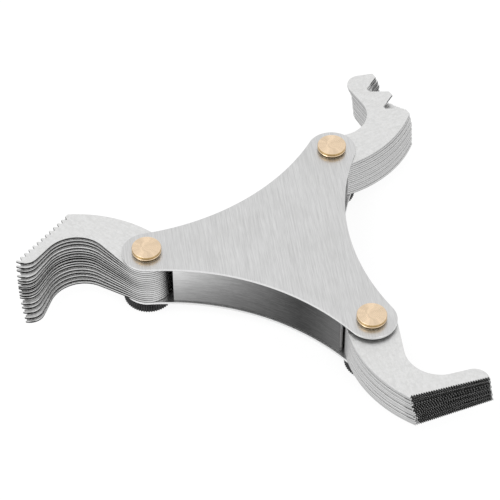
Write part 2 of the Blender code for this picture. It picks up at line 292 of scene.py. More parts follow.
class ShapeTrees:
    """The Geometry Nodes trees that the gauge's flat pieces come from. Their sizes are in mm."""

    SHEET_INPUTS = {
        "Outline": ("NodeSocketGeometry", None),
        "Thickness": ("NodeSocketFloat", 0.5),
        "Edge Break": ("NodeSocketFloat", 0.05),
        "Finish": ("NodeSocketMaterial", None),
    }
    TOOTH_INPUTS = {
        "Pitch": ("NodeSocketFloat", 1.0),
        "Depth": ("NodeSocketFloat", 0.5),
        "Crest Share": ("NodeSocketFloat", 0.2),
        "Root Share": ("NodeSocketFloat", 0.16),
        "Reach": ("NodeSocketFloat", 18.0),
        "Toe": ("NodeSocketFloat", 15.0),
        "Teeth": ("NodeSocketInt", 10),
    }
    KNURL_INPUTS = {
        "Core": ("NodeSocketGeometry", None),
        "Knurls": ("NodeSocketInt", 60),
        "Radius": ("NodeSocketFloat", 4.2),
        "Depth": ("NodeSocketFloat", 0.2),
        "Height": ("NodeSocketFloat", 1.6),
        "Rise": ("NodeSocketFloat", 0.25),
        "Finish": ("NodeSocketMaterial", None),
    }
    KNURL_OVERLAP = 0.7  # a wedge's radius in shares of the way from one knurl to the next

    def __init__(self) -> None:
        """Builds the trees once."""
        self.sheet = self._sheet()
        self.plate = self._plate()
        self.leaf = self._leaf()
        self.knurl = self._knurl()

    def _start(self, name: str, inputs: dict[str, tuple[str, object]]) -> NodeBuilder:
        """Starts a shape tree."""
        return NodeBuilder.group("GeometryNodeTree", name, inputs, {"Piece": "NodeSocketGeometry"})

    def _sheet(self) -> Tree:
        """Points numbered by loop and order become a flat piece with holes and broken edges.

        Returns:
            The tree.
        """
        build = self._start("sheet_piece", self.SHEET_INPUTS)
        given = build.given
        thick, brk = given["Thickness"], given["Edge Break"]
        whole = {"data_type": "INT"}
        loop, order = (
            build.add("GeometryNodeInputNamedAttribute", whole, Name=name) for name in ("loop", "order")
        )
        loops = build.add("GeometryNodePointsToCurves", i0=given["Outline"], i1=loop, i2=order)
        closed = build.add("GeometryNodeSetSplineCyclic", i0=loops, i2=True)
        normals = build.add("GeometryNodeSetCurveNormal", {"mode": "Z_UP"}, i0=closed)

        stations = build.node("GeometryNodeIndexSwitch", {"data_type": "VECTOR"})
        stations.index_switch_items.new()
        stations.index_switch_items.new()
        rises = (0.0, brk, build.minus(thick, brk), thick)
        for number, rise in enumerate(rises):
            inward = brk if number in (0, 3) else 0.0
            down = build.times(rise, -1.0) if rise else 0.0
            build.tree.links.new(build.combine(inward, down), stations.inputs[number + 1])
        build.tree.links.new(build.add("GeometryNodeInputIndex"), stations.inputs[0])
        line = build.add("GeometryNodeMeshLine", {"mode": "OFFSET"}, Count=len(rises))
        placed = build.add("GeometryNodeSetPosition", i0=line, i2=stations.outputs[0])
        profile = build.add("GeometryNodeMeshToCurve", i0=placed)
        band = build.add("GeometryNodeCurveToMesh", i0=normals, i1=profile)

        normal = build.add("GeometryNodeInputNormal")
        inward = build.add("ShaderNodeVectorMath", {"operation": "SCALE"}, i0=normal, i3=brk)
        inset = build.add("GeometryNodeSetPosition", i0=normals, i3=inward)
        face = build.add("GeometryNodeFillCurve", {"mode": "TRIANGLES"}, i0=inset)
        top = build.add("GeometryNodeTransform", Geometry=face, Translation=build.combine(z=thick))
        bottom = build.add("GeometryNodeFlipFaces", i0=face)
        joined = build.join(band, top, bottom)
        build.give_piece(build.add("GeometryNodeMergeByDistance", i0=joined, Distance=WELD))
        return build.tree

    def _plate(self) -> Tree:
        """A sheet piece whose whole outline comes from the mesh that it is given.

        Returns:
            The tree.
        """
        build = self._start("plain_plate", self.SHEET_INPUTS)
        points = build.add("GeometryNodeMeshToPoints", i0=build.given["Outline"])
        self._give_sheet(build, points)
        return build.tree

    def _give_sheet(self, build: NodeBuilder, points: Socket) -> None:
        """Ends a tree with the sheet that its points outline.

        Args:
            build: The tree's builder.
            points: Its numbered points.
        """
        sheet = build.node("GeometryNodeGroup", {"node_tree": self.sheet}, Outline=points)
        for name in ("Thickness", "Edge Break", "Finish"):
            build.tree.links.new(build.given[name], sheet.inputs[name])
        build.give("Piece", sheet.outputs[0])

    def _leaf(self) -> Tree:
        """Adds a row of teeth, counted out by its pitch, to a blank's points, then makes the sheet.

        Returns:
            The tree.
        """
        build = self._start("toothed_leaf", self.SHEET_INPUTS | self.TOOTH_INPUTS)
        given = build.given
        index = build.add("GeometryNodeInputIndex")
        tooth = build.maths("FLOOR", build.maths("DIVIDE", index, 4.0))
        corner = build.minus(index, build.times(tooth, 4.0))
        crest, root = given["Crest Share"], given["Root Share"]
        slope = build.times(build.minus(build.minus(1.0, crest), root), 0.5)
        past = [build.maths("GREATER_THAN", corner, number + 0.5) for number in range(3)]
        second, third, fourth = (build.times(step, size) for step, size in zip(past, (crest, slope, root)))
        share = build.plus(build.plus(second, third), build.plus(fourth, tooth))
        along = build.minus(given["Toe"], build.times(share, given["Pitch"]))
        across = build.minus(given["Reach"], build.times(past[1], given["Depth"]))
        count = build.plus(build.times(given["Teeth"], 4.0), 1.0)
        points = build.add("GeometryNodePoints", Count=count, Position=build.combine(across, along))
        settings = {"data_type": "INT", "domain": "POINT"}
        for name, value in (("loop", 0), ("order", build.add("GeometryNodeInputIndex"))):
            points = build.add(
                "GeometryNodeStoreNamedAttribute", settings, Geometry=points, Name=name, Value=value
            )
        blank = build.add("GeometryNodeMeshToPoints", i0=given["Outline"])
        self._give_sheet(build, build.join(points, blank))
        return build.tree

    def _knurl(self) -> Tree:
        """A round nut: one knurl's wedge repeated round a core that another outline gives.

        Returns:
            The tree.
        """
        build = self._start("knurled_nut", self.KNURL_INPUTS)
        given = build.given
        radius, knurls, depth = given["Radius"], given["Knurls"], given["Depth"]
        width = build.maths("DIVIDE", build.times(radius, 2 * math.pi), knurls)
        wedge = build.node("GeometryNodeMeshCone", {"fill_type": "NGON"}, Vertices=4, Side_Segments=1)
        for end in ("Radius Bottom", "Radius Top"):
            build.tree.links.new(build.times(width, self.KNURL_OVERLAP), wedge.inputs[end])
        build.tree.links.new(given["Height"], wedge.inputs["Depth"])
        middle = build.minus(radius, build.times(depth, 0.5))
        ring = build.add("GeometryNodeMeshCircle", Vertices=knurls, Radius=middle)
        upright = build.add("GeometryNodeSetPosition", i0=ring, Offset=build.combine(z=given["Rise"]))
        index = build.add("GeometryNodeInputIndex")
        turn = build.combine(z=build.maths("DIVIDE", build.times(index, 2 * math.pi), knurls))
        ridges = build.add(
            "GeometryNodeInstanceOnPoints", Points=upright, Instance=wedge.outputs[0], Rotation=turn
        )
        build.give_piece(build.join(given["Core"], ridges))
        return build.tree


# Pieces


def add_object(name: str, data: bpy.types.ID) -> Object:
    """Adds an object to the scene.

    Args:
        name: Its name.
        data: What it shows or is.

    Returns:
        The object.
    """
    made = bpy.data.objects.new(name, data)
    bpy.context.scene.collection.objects.link(made)
    return made


def numbered_points(name: str, loops: Sequence[Sequence[Point]], first_order: int = 0) -> Mesh:
    """Outlines as loose points that know their loop and their place in it.

    Args:
        name: The mesh's name.
        loops: Each loop's points, with the material on the right of the way they run.
        first_order: The number that each loop starts from.

    Returns:
        The mesh of points.
    """
    mesh = bpy.data.meshes.new(name)
    mesh.from_pydata([(x, y, 0.0) for loop in loops for x, y in loop], [], [])
    numbers = [(index, first_order + i) for index, loop in enumerate(loops) for i in range(len(loop))]
    for column, label in enumerate(("loop", "order")):
        attribute = mesh.attributes.new(label, "INT", "POINT")
        attribute.data.foreach_set("value", [pair[column] for pair in numbers])
    return mesh


def bake(name: str, source: Mesh, tree: Tree, values: dict[str, object]) -> Object:
    """Runs a Geometry Nodes tree on a mesh and keeps the result as a plain piece.

    Args:
        name: The piece's name.
        source: What the tree is given.
        tree: The tree.
        values: The tree's inputs by name.

    Returns:
        The piece, with no modifier left on it.
    """
    made = add_object(name, source)
    modifier = made.modifiers.new("shape", "NODES")
    modifier.node_group = tree
    for socket in tree.interface.items_tree:
        if socket.item_type == "SOCKET" and socket.in_out == "INPUT" and socket.name in values:
            modifier[socket.identifier] = values[socket.name]
    bpy.context.view_layer.update()
    graph = bpy.context.evaluated_depsgraph_get()
    result = bpy.data.meshes.new_from_object(made.evaluated_get(graph), depsgraph=graph)
    made.modifiers.remove(modifier)
    made.data = result
    bpy.data.meshes.remove(source)
    return made


def lathe(name: str, profile: Sequence[Point], sides: int = 64) -> Mesh:
    """Turns a profile about Z.

    Args:
        name: The mesh's name.
        profile: (radius, height) pairs; a closed ring where the first pair is also the last.
        sides: How many steps go round.

    Returns:
        The turned mesh, in mm, with its faces outwards.
    """
    turned = bmesh.new()
    verts = [turned.verts.new((radius, 0.0, height)) for radius, height in profile]
    edges = [turned.edges.new(pair) for pair in zip(verts, verts[1:])]
    about = {"cent": (0.0, 0.0, 0.0), "axis": (0.0, 0.0, 1.0), "angle": 2 * math.pi}
    bmesh.ops.spin(turned, geom=verts + edges, steps=sides, use_merge=True, **about)
    bmesh.ops.remove_doubles(turned, verts=turned.verts, dist=WELD)
    bmesh.ops.recalc_face_normals(turned, faces=turned.faces)
    mesh = bpy.data.meshes.new(name)
    turned.to_mesh(mesh)
    turned.free()
    return mesh


def set_grain(mesh: Mesh, pattern: Pattern, radius: float = 0.0, layer: int = 0) -> None:
    """Stores where each point lies in its piece's own pattern, in mm.

    Args:
        mesh: The mesh, still in mm and in its piece's own place.
        pattern: FLAT keeps x and y; ROUND gives the way round the middle and the distance from it.
        radius: The radius at which the way round is measured.
        layer: A number that tells a stack's pieces apart, kept as so many layers' height.
    """
    places = np.zeros(len(mesh.vertices) * 3, np.float32)
    mesh.vertices.foreach_get("co", places)
    places = places.reshape(-1, 3)
    if pattern is Pattern.ROUND:
        away = np.hypot(places[:, 0], places[:, 1])
        places = np.stack([np.arctan2(places[:, 1], places[:, 0]) * radius, away, places[:, 2]], axis=1)
    places[:, 2] += layer * LAYER
    attribute = mesh.attributes.new("grain", "FLOAT_VECTOR", "POINT")
    attribute.data.foreach_set("vector", places.astype(np.float32).ravel())


def settle(
    piece: Object, place: Matrix, body: str, nodes: Iterable[str], smooth: float = 30.0
) -> Object:
    """Puts a piece in its place, rounds its shading and ties it to the CAD model.

    Args:
        piece: The piece, its mesh in mm.
        place: Where it goes, in metres.
        body: The body that it moves with.
        nodes: The CAD nodes that it stands for.
        smooth: Edges sharper than this many degrees stay crisp.

    Returns:
        The piece.
    """
    mesh = piece.data
    mesh.transform(place @ Matrix.Scale(MM, 4))
    mesh.shade_smooth()
    mesh.set_sharp_from_angle(angle=math.radians(smooth))
    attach(piece, body)
    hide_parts(*nodes)
    LOG.info("%s stands for %s on %s", piece.name, ", ".join(nodes), body)
    return piece


# Finishes


class Effects:
    """Shader groups that several finishes share. Distances are in mm."""

    STREAKS = ((1.0, 2.0), (3.7, 4.0))  # scale and detail of the coarse and of the fine streaks
    FINE_SHARE = 0.55
    STREAK_SPAN = (0.3, 0.7)
    BLOTCH_GRADE = (5.0, 0.62)  # detail and roughness
    BLOTCH_SPAN = (0.35, 0.68)
    LEVEL_SPAN = (0.35, 0.85)  # how level a face is from where it stops counting as upright

    def __init__(self) -> None:
        """Builds each group once."""
        self.brushing = self._brushing()
        self.mottle = self._mottle()
        self.upright = self._upright()

    def _brushing(self) -> Tree:
        """Long thin streaks along X, coarse and fine together.

        Returns:
            The group, which puts out Tone and Height, both 0 to 1.
        """
        inputs = {
            "Place": ("NodeSocketVector", None),
            "Along": ("NodeSocketFloat", 0.1),
            "Across": ("NodeSocketFloat", 5.0),
        }
        outputs = {"Tone": "NodeSocketFloat", "Height": "NodeSocketFloat"}
        build = NodeBuilder.group("ShaderNodeTree", "brushing", inputs, outputs)
        place, along, across = build.given["Place"], build.given["Along"], build.given["Across"]
        stretch = build.combine(along, across, across)
        stretched = build.add("ShaderNodeVectorMath", {"operation": "MULTIPLY"}, i0=place, i1=stretch)
        coarse, fine = (build.noise(stretched, *grade) for grade in self.STREAKS)
        build.give("Tone", build.ramp(build.mix_floats(self.FINE_SHARE, coarse, fine), self.STREAK_SPAN))
        build.give("Height", fine)
        return build.tree

    def _mottle(self) -> Tree:
        """Soft blotches, as handling and oil leave on steel.

        Returns:
            The group, which puts out Mask, 0 to 1.
        """
        inputs = {"Place": ("NodeSocketVector", None), "Size": ("NodeSocketFloat", 2.0)}
        build = NodeBuilder.group("ShaderNodeTree", "mottle", inputs, {"Mask": "NodeSocketFloat"})
        scale = build.maths("DIVIDE", 1.0, build.given["Size"])
        cloud = build.noise(build.given["Place"], scale, *self.BLOTCH_GRADE)
        build.give("Mask", build.ramp(cloud, self.BLOTCH_SPAN))
        return build.tree

    def _upright(self) -> Tree:
        """Tells a piece's upright faces from its flat ones.

        Returns:
            The group, which puts out Mask: 1 on an upright face, 0 on a level one.
        """
        build = NodeBuilder.group("ShaderNodeTree", "upright", {}, {"Mask": "NodeSocketFloat"})
        normal = build.node("ShaderNodeNewGeometry").outputs["Normal"]
        level = build.maths("ABSOLUTE", build.parts(normal)[2])
        build.give("Mask", build.ramp(level, self.LEVEL_SPAN, (1.0, 0.0)))
        return build.tree


class FinishBuilder(NodeBuilder):
    """Builds one finish's material round its shader."""

    def __init__(self, name: str) -> None:
        """Starts the material, with the piece's grain at hand."""
        self.material = bpy.data.materials.new(name)
        self.material.use_nodes = True
        super().__init__(self.material.node_tree)
        self.place = self.node("ShaderNodeAttribute", {"attribute_name": "grain"}).outputs["Vector"]

    def effect(self, group: Tree, **sockets: object) -> bpy.types.bpy_prop_collection:
        """What a shared effect puts out, by name."""
        return self.node("ShaderNodeGroup", {"node_tree": group}, **sockets).outputs

    def close(
        self, colour: Socket, rough: Socket, relief: Socket, bump: float, metal: float = 1.0
    ) -> Material:
        """Wires up the shader.

        Args:
            colour: The base colour.
            rough: The roughness.
            relief: The small relief's height, 0 to 1.
            bump: How strongly the relief shows.
            metal: How metallic the finish is.

        Returns:
            The material.
        """
        shader = self.tree.nodes["Principled BSDF"]
        shader.inputs["Metallic"].default_value = metal
        normal = self.add("ShaderNodeBump", Strength=bump, Distance=BUMP_DEPTH, Height=relief)
        for name, value in (("Base Color", colour), ("Roughness", rough), ("Normal", normal)):
            self.tree.links.new(value, shader.inputs[name])
        return self.material


@dataclass(frozen=True)
class SteelFinish:
    """Brushed or rolled steel, its cut edges toned apart from its faces: painted highlight on rims, painted
    shade on leaf edges.
    """

    name: str
    slot: str
    dark: Colour
    light: Colour
    # the upright faces' tone, which carries their painted light and shade
    edge: Colour
    rough: Span
    grain: Span  # streaks per mm, along and across
    turn: float = 0.0  # degrees from X to the streaks
    blotch: float = 2.5  # mm
    blotches: float = 0.3
    blotch_tone: Colour = (0.86, 0.86, 0.85)
    bump: float = 0.05
    edge_rough: float = 0.45

    def face_colour(self, build: FinishBuilder, face: Socket) -> Socket:
        """The colour of the level faces, from the brushed and blotched steel."""
        return face

    def edge_colour(self, build: FinishBuilder, streaks: Socket) -> Socket:
        """The colour of the upright faces, streaked by the brushing's tone."""
        return build.mix_colours(streaks, tuple(0.9 * part for part in self.edge), self.edge)

    def make(self, effects: Effects) -> Material:
        """Builds the material.

        Args:
            effects: The shared shader groups.

        Returns:
            The material.
        """
        build = FinishBuilder(self.name)
        turn = (0.0, 0.0, math.radians(-self.turn))
        turned = build.add("ShaderNodeMapping", Vector=build.place, Rotation=turn)
        along, across = self.grain
        streaks = build.effect(effects.brushing, Place=turned, Along=along, Across=across)
        blotch = build.effect(effects.mottle, Place=build.place, Size=self.blotch)["Mask"]
        face = build.mix_colours(streaks["Tone"], self.dark, self.light)
        dulled = build.mix_colours(1.0, face, self.blotch_tone, "MULTIPLY")
        face = self.face_colour(build, build.mix_colours(build.times(blotch, self.blotches), face, dulled))
        upright = build.effect(effects.upright)["Mask"]
        # upright faces take the edge colour, with its painted light and shade
        colour = build.mix_colours(upright, face, self.edge_colour(build, streaks["Tone"]))
        rough = build.mix_floats(upright, build.mix_floats(streaks["Tone"], *self.rough), self.edge_rough)
        return build.close(colour, rough, streaks["Height"], self.bump)


@dataclass(frozen=True)
class LeafFinish(SteelFinish):
    """Rolled strip with painted shade along its edges' lower rims, in its hook, on its boss's back and on
    its teeth.

    Its spans are in mm on the leaf: x from the pivot to the tooth line, y along that line to the toe.
    """

    hook_x: Span = (-4.0, 4.0)  # over these the edge changes from the flank's look to the hook's heavier painted shade
    hook_y: Span = (-1.0, 2.5)
    rim: float = 0.62  # how light each edge's lower rim is under its painted shade, to the rest of the edge
    # the lower rim's painted shade in the hook
    hook_rim: float = 0.55
    rim_shade_height: Span = (0.06, 0.26)
    # the heights over which the lower rim's painted shade fades
    hook_lap: float = 0.0  # mm that the rim's painted shade is wider in the hook
    uneven: float = 0.12  # how far the leaves differ from one another
    hook_uneven: float = 0.2
    sunk: float = 8.0  # the leaf in the middle of those that lie in the others' shade
    sunk_width: Span = (0.5, 2.5)  # in leaves, to either side
    sunk_shade: float = 0.0
    back_x: Span = (-3.0, -1.0)  # the boss's back, which faces the wall and takes painted shade
    back_y: Span = (-1.0, 4.4)
    back_shade: float = 0.0
    # the teeth's painted shade
    tooth: Colour = (0.02, 0.02, 0.02)
    tooth_root: Span = (16.4, 16.7)
    tooth_face: Span = (16.9, 17.3)
    heel_slope: float = 0.9  # the teeth start past the line y = heel_slope * x - heel_drop
    heel_drop: float = 15.4
    toe: Span = (15.1, 15.3)
    grime: float = 0.0  # how dark the painted shade on the teeth's faces is under the top leaf

    def face_colour(self, build: FinishBuilder, face: Socket) -> Socket:
        """The colour of a leaf's face, with painted shade along the teeth of the leaves below the top one.

        Args:
            build: Adds to the material's tree.
            face: The brushed and blotched steel.

        Returns:
            The colour's socket.
        """
        x, _, z = build.parts(build.place)
        # painted shade on the teeth of the leaves below the top one
        lower_leaf_shade_mask = build.ramp(z, (1.4 * LAYER, 1.6 * LAYER), (0.0, self.grime))
        return build.mix_colours(build.times(lower_leaf_shade_mask, build.ramp(x, self.tooth_face)), face, self.tooth)

    def edge_colour(self, build: FinishBuilder, streaks: Socket) -> Socket:
        """The colour of a leaf's edge: plain along its flank, with painted shade along its lower rim,
        heavier in its hook, and on its teeth.

        Args:
            build: Adds to the material's tree.
            streaks: The brushing's tone, 0 to 1.

        Returns:
            The colour's socket.
        """
        x, y, z = build.parts(build.place)
        layer = build.maths("ROUND", build.maths("DIVIDE", z, LAYER))
        height = build.minus(z, build.times(layer, LAYER))
        own = build.node("ShaderNodeTexWhiteNoise", {"noise_dimensions": "1D"}, W=layer).outputs["Value"]
        hook = build.times(build.ramp(y, self.hook_y), build.ramp(x, self.hook_x))
        level = build.minus(1.0, build.times(own, build.mix_floats(hook, self.uneven, self.hook_uneven)))
        # painted shade along each edge's lower rim, wider and darker in the hook
        under = build.ramp(build.minus(height, build.times(hook, self.hook_lap)), self.rim_shade_height)
        rim = build.mix_floats(under, build.mix_floats(hook, self.rim, self.hook_rim), 1.0)
        # painted shade on the leaves that lie in the others' shade
        from_sunk = build.maths("ABSOLUTE", build.minus(layer, self.sunk))
        sunk = build.times(build.ramp(from_sunk, self.sunk_width, (self.sunk_shade, 0.0)), hook)
        # painted shade on the boss's back, where it faces the wall
        back = build.ramp(y, self.back_y, (self.back_shade, 0.0))
        back = build.times(build.ramp(x, self.back_x, (1.0, 0.0)), back)
        shade = build.times(level, rim, build.minus(1.0, sunk), build.minus(1.0, back))
        colour = build.shaded(super().edge_colour(build, streaks), shade)
        # painted shade on the teeth
        past_heel = build.minus(build.plus(y, self.heel_drop), build.times(x, self.heel_slope))
        tooth_shade_mask = build.times(build.ramp(x, self.tooth_root), build.ramp(past_heel, (0.1, 0.2)))
        tooth_shade_mask = build.times(tooth_shade_mask, build.ramp(y, self.toe, (1.0, 0.0)))
        return build.mix_colours(tooth_shade_mask, colour, self.tooth)


@dataclass(frozen=True)
class WallFinish(SteelFinish):
    """Brushed strip with painted shade: bright at the hooked end and darker towards the other."""

    darkest: float = -8.0  # mm along the wall from its middle to where the painted shade is darkest
    bright_end: float = 15.0
    dark_end: float = -17.0
    darkest_tone: float = 0.26
    bright_tone: float = 0.72
    dark_end_gain: float = 0.13
    painted_top_light: float = 0.12  # painted light: how much lighter the bright end is at the top, and darker at the foot
    streak: float = 0.035
    gamma: float = 2.2
    height: float = 8.3
    outer: float = 44.85  # the outer face's distance from the arc's centre
    inside: Colour = (0.72, 0.72, 0.72)

    def edge_colour(self, build: FinishBuilder, streaks: Socket) -> Socket:
        """The colour along the wall: painted shade along it, with painted light towards its top where it is
        bright.

        Args:
            build: Adds to the material's tree.
            streaks: The brushing's tone, 0 to 1.

        Returns:
            The colour's socket.
        """
        along, away, z = build.parts(build.place)
        # painted shade along the wall, and painted light up its bright end
        rise = build.ramp(along, (self.darkest, self.bright_end), how="LINEAR")
        tone = build.plus(
            build.mix_floats(rise, self.darkest_tone, self.bright_tone),
            build.ramp(along, (self.dark_end, self.darkest), (self.dark_end_gain, 0.0)),
            build.times(build.ramp(z, (0.0, self.height), (-self.painted_top_light, self.painted_top_light)), rise),
            build.ramp(streaks, (0.0, 1.0), (-self.streak, self.streak)),
        )
        shade = build.maths("POWER", tone, self.gamma)
        other = build.ramp(away, (self.outer + 0.02, self.outer + 0.1))
        return build.mix_colours(other, build.combine(shade, shade, shade), self.inside)


@dataclass(frozen=True)
class BrassFinish:
    """Turned brass: rings from the tool, a pale top, a side in painted shade and a painted glint round the
    head.
    """

    name: str = "turned_brass"
    slot: str = "brass"
    top: Colour = (0.97, 0.76, 0.54)
    # the side's colour is painted shade, and the foot's a darker painted shade
    side: Colour = (0.70, 0.47, 0.20)
    foot: Colour = (0.10, 0.075, 0.03)
    side_shade_height: Span = (9.5, 10.35)  # mm up the screw, over which the painted shade at the side's foot ends
    groove_shade_reach: Span = (2.61, 2.69)  # mm from the axis, over which the painted shade in the groove ends
    ring: float = 0.09  # mm from one tool mark to the next
    sweep: float = 0.12  # how soon the marks change round the axis
    painted_glint: Span = (0.80, 1.0)  # the tones of the painted glint that sweeps round the head
    mark: Span = (0.95, 1.0)  # the tones from one tool mark to the next
    rough: Span = (0.19, 0.32)
    bump: float = 0.12

    def make(self, effects: Effects) -> Material:
        """Builds the material.

        Args:
            effects: The shared shader groups.

        Returns:
            The material.
        """
        build = FinishBuilder(self.name)
        way_round, away, height = build.parts(build.place)
        marks = build.combine(
            build.times(way_round, self.sweep),
            build.maths("DIVIDE", away, self.ring),
            build.maths("DIVIDE", height, self.ring),
        )
        rings = build.noise(marks, 1.0, 2.0)
        # a painted glint that sweeps round the head
        painted_glint = build.ramp(build.noise(build.combine(way_round), 1.1, 3.0), (0.35, 0.65), self.painted_glint)
        # painted shade at the side's foot and in its groove, on a side darker than the top
        unshaded_side = build.times(build.ramp(height, self.side_shade_height), build.ramp(away, self.groove_shade_reach))
        side = build.mix_colours(unshaded_side, self.foot, self.side)
        colour = build.mix_colours(build.effect(effects.upright)["Mask"], self.top, side)
        toned = build.shaded(colour, build.times(painted_glint, build.ramp(rings, (0.3, 0.7), self.mark)))
        return build.close(toned, build.ramp(rings, (0.2, 0.8), self.rough), rings, self.bump)


@dataclass(frozen=True)
class BlackFinish:
    """Blackened steel, rubbed a little brighter on the tips of its knurls."""

    name: str = "blackened_knurl"
    slot: str = "blackened_steel"
    deep: Colour = (0.006, 0.006, 0.007)
    raised: Colour = (0.014, 0.014, 0.015)
    tip: Colour = (0.05, 0.05, 0.051)
    tip_reach: Span = (4.28, 4.42)  # mm from the nut's axis
    speck: float = 0.35  # mm
    rubbed: Span = (0.35, 1.0)  # the least and the most that a tip is rubbed
    rough: Span = (0.36, 0.52)
    bump: float = 0.1
    metal: float = 0.6

    def make(self, effects: Effects) -> Material:
        """Builds the material.

        Args:
            effects: The shared shader groups.

        Returns:
            The material.
        """
        build = FinishBuilder(self.name)
        away = build.parts(build.place)[1]
        speck = build.effect(effects.mottle, Place=build.place, Size=self.speck)["Mask"]
        rubbed = build.times(build.ramp(away, self.tip_reach), build.ramp(speck, (0.2, 0.9), self.rubbed))
        colour = build.mix_colours(rubbed, build.mix_colours(speck, self.deep, self.raised), self.tip)
        rough = build.ramp(speck, (0.0, 1.0), self.rough)
        return build.close(colour, rough, speck, self.bump, self.metal)


PLATE_STEEL = SteelFinish(
    name="brushed_plate_steel",
    slot="plate_steel",
    dark=grey(0.59),
    light=grey(0.76),
    # rims lighter than the faces: a painted highlight
    edge=grey(0.86),
    rough=(0.30, 0.38),
    grain=(0.12, 4.2),
    turn=90.0,
    blotch=6.0,
)
WALL_STEEL = WallFinish(
    name="brushed_wall_steel",
    slot="plate_steel",
    dark=grey(0.40),
    light=grey(0.52),
    edge=grey(0.3),
    rough=(0.32, 0.42),
    grain=(0.35, 5.0),
    edge_rough=0.38,
)


def leaf_steel(arm: Arm, edge: float, **banding: object) -> LeafFinish:
    """A fan's finish.

    Args:
        arm: The fan's arm.
        edge: How light the leaves' edges are, a tone that carries their painted shade.
        banding: How the edges' painted rim shade, their other painted shade and their unevenness differ
            from the usual.

    Returns:
        The finish.
    """
    return LeafFinish(
        name=f"rolled_{arm.value}_leaf_steel",
        slot="leaf_steel",
        dark=grey(0.76),
        light=(0.84, 0.84, 0.835),
        edge=grey(edge),
        rough=(0.38, 0.46),
        grain=(0.5, 2.2),
        blotch=0.6,
        blotches=0.6,
        **banding,
    )


LEAF_STEEL = {
    Arm.MEDIUM: leaf_steel(
        Arm.MEDIUM,
        0.78,
        rim=0.25,
        hook_rim=0.01,
        hook_lap=0.15,
        hook_uneven=0.6,
        sunk_shade=0.85,
        back_shade=0.85,
    ),
    Arm.COARSE: leaf_steel(Arm.COARSE, 0.65, toe=(14.6, 14.8)),
    Arm.FINE: leaf_steel(Arm.FINE, 0.70, grime=0.4),
}


# The gauge


@dataclass(frozen=True)
class Layout:
    """Sizes that the gauge's pieces share, in mm."""

    pivot_radius: float = 25.0
    plate: float = 0.5
    lobe: float = 4.55
    side: float = 44.5
    inner: float = 8.42
    boss: float = 4.58
    shank: float = 1.5
    bore: float = 1.56
    seat_gap: float = 0.05
    edge_break: float = 0.05
    directions: dict[Arm, float] = field(
        default_factory=lambda: {Arm.MEDIUM: math.pi, Arm.COARSE: math.pi / 3, Arm.FINE: -math.pi / 3}
    )

    @property
    def top(self) -> float:
        """Height of the top plate's upper face."""
        return 2 * self.plate + self.inner

    @property
    def side_half_angle(self) -> float:
        """Half of a hollow side's arc, in radians."""
        return math.asin(self.pivot_radius * math.sin(math.pi / 3) / (self.lobe + self.side))

    def pivot(self, arm: Arm) -> Point:
        """The centre of an arm's screw."""
        return polar(self.pivot_radius, self.directions[arm])

    def side_centre(self, middle: float) -> Point:
        """The centre of the hollow side that faces a direction."""
        depth = (self.lobe + self.side) * math.cos(self.side_half_angle)
        return polar(self.pivot_radius * math.cos(math.pi / 3) + depth, middle)


